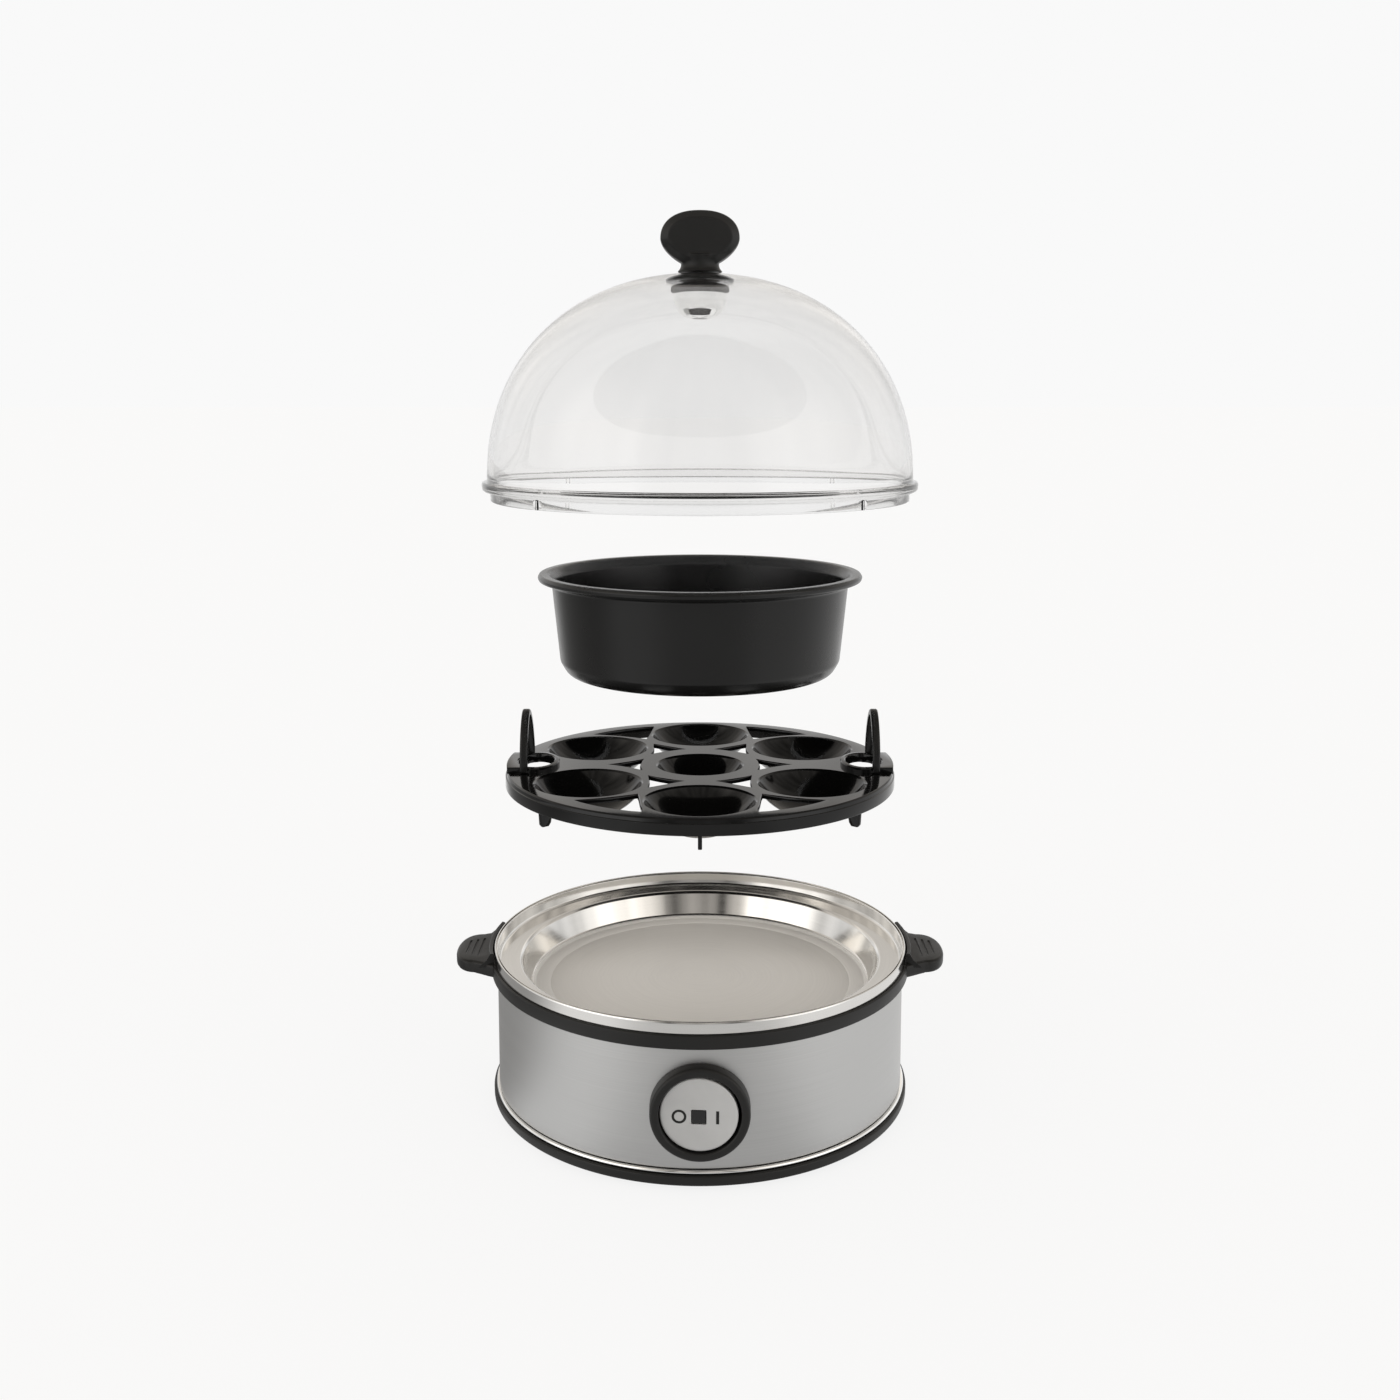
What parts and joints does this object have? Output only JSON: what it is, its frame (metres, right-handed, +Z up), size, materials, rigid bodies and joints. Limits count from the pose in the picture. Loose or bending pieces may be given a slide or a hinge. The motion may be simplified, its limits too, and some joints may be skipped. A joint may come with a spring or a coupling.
{
  "type": "egg cooker",
  "caption": "Round electric egg cooker shown lifted apart: steel base with water pan and rocker switch, black egg tray with lifting loops, steaming bowl and clear dome lid.",
  "frame": {"origin": "on the table plane, on the axis of the round base", "axes": "+X to the right as seen from the switch side, +Y to the back, +Z up; the switch faces -Y"},
  "size_m": [0.1976, 0.174, 0.3471],
  "materials": {
    "clear_plastic": "clear moulded plastic, glossy",
    "black_plastic": "satin moulded",
    "gloss_black": "high gloss",
    "loop_black": "gloss",
    "nonstick": "semi-gloss non-stick coat",
    "polished_steel": "polished",
    "brushed_steel": "fine brushed satin",
    "chrome": "polished",
    "silver_plastic": "satin silver paint",
    "dark_window": "dark tinted window",
    "lamp_lens": "neon lamp",
    "rubber": "matte",
    "brass": "plain",
    "aluminium": "mill finish",
    "screw_steel": "zinc plated",
    "ceramic": "unglazed",
    "nylon": "natural nylon",
    "blue_wire": "insulation",
    "brown_wire": "insulation"
  },
  "bodies": {
    "base": {"heating_pan": "polished_steel", "upper_ring": "black_plastic", "outer_band": "brushed_steel", "trim_ring": "chrome", "bottom_cover": "black_plastic", "heating_element": "aluminium", "clamp_plate": "aluminium", "thermostat": "ceramic", "thermostat_bracket": "screw_steel", "thermal_fuse": "nylon", "fuse_clip": "screw_steel", "cord_gland": "rubber", "terminal_block": "nylon", "switch_bezel": "black_plastic", "switch_body": "black_plastic", "switch_blade_line": "brass", "switch_blade_load": "brass", "switch_blade_neutral": "brass", "wire_line_to_switch": "brown_wire", "wire_switch_to_fuse": "brown_wire", "wire_fuse_to_thermostat": "brown_wire", "wire_thermostat_to_element": "brown_wire", "wire_element_to_neutral": "blue_wire", "wire_neutral_to_lamp": "blue_wire", "rubber_foot_1": "rubber", "tie_screw_1": "screw_steel", "rubber_foot_2": "rubber", "tie_screw_2": "screw_steel", "rubber_foot_3": "rubber", "tie_screw_3": "screw_steel", "rubber_foot_4": "rubber", "tie_screw_4": "screw_steel", "element_pin_left": "brass", "bracket_screw_left": "screw_steel", "element_pin_right": "brass", "bracket_screw_right": "screw_steel", "pan_stud_1": "screw_steel", "stud_nut_1": "brass", "terminal_screw_1": "brass", "pan_stud_2": "screw_steel", "stud_nut_2": "brass", "terminal_screw_2": "brass", "pan_stud_3": "screw_steel", "stud_nut_3": "brass", "terminal_screw_3": "brass"},
    "tray": {"egg_tray": "gloss_black", "tray_loop_left": "loop_black", "tray_loop_right": "loop_black"},
    "bowl": {"steaming_bowl": "nonstick"},
    "lid": {"lid_dome": "clear_plastic", "lid_knob": "black_plastic", "knob_washer": "rubber", "knob_cap": "chrome", "knob_screw": "screw_steel"},
    "rocker": {"rocker": "silver_plastic", "rocker_window": "dark_window", "indicator_lamp": "lamp_lens"}
  },
  "joints": [
    {"name": "tray_lift", "type": "slide", "parent": "base", "child": "tray", "axis": [0, 0, 1], "range_m": [-0.0664, 0]},
    {"name": "bowl_lift", "type": "slide", "parent": "tray", "child": "bowl", "axis": [0, 0, 1], "range_m": [-0.0366, 0]},
    {"name": "lid_lift", "type": "slide", "parent": "bowl", "child": "lid", "axis": [0, 0, 1], "range_m": [-0.0776, 0]},
    {"name": "rocker_tilt", "type": "hinge", "parent": "base", "child": "rocker", "pos_m": [0, -0.0798, 0.0312], "axis": [0, 0, 1], "range_deg": [0, 8]}
  ]
}
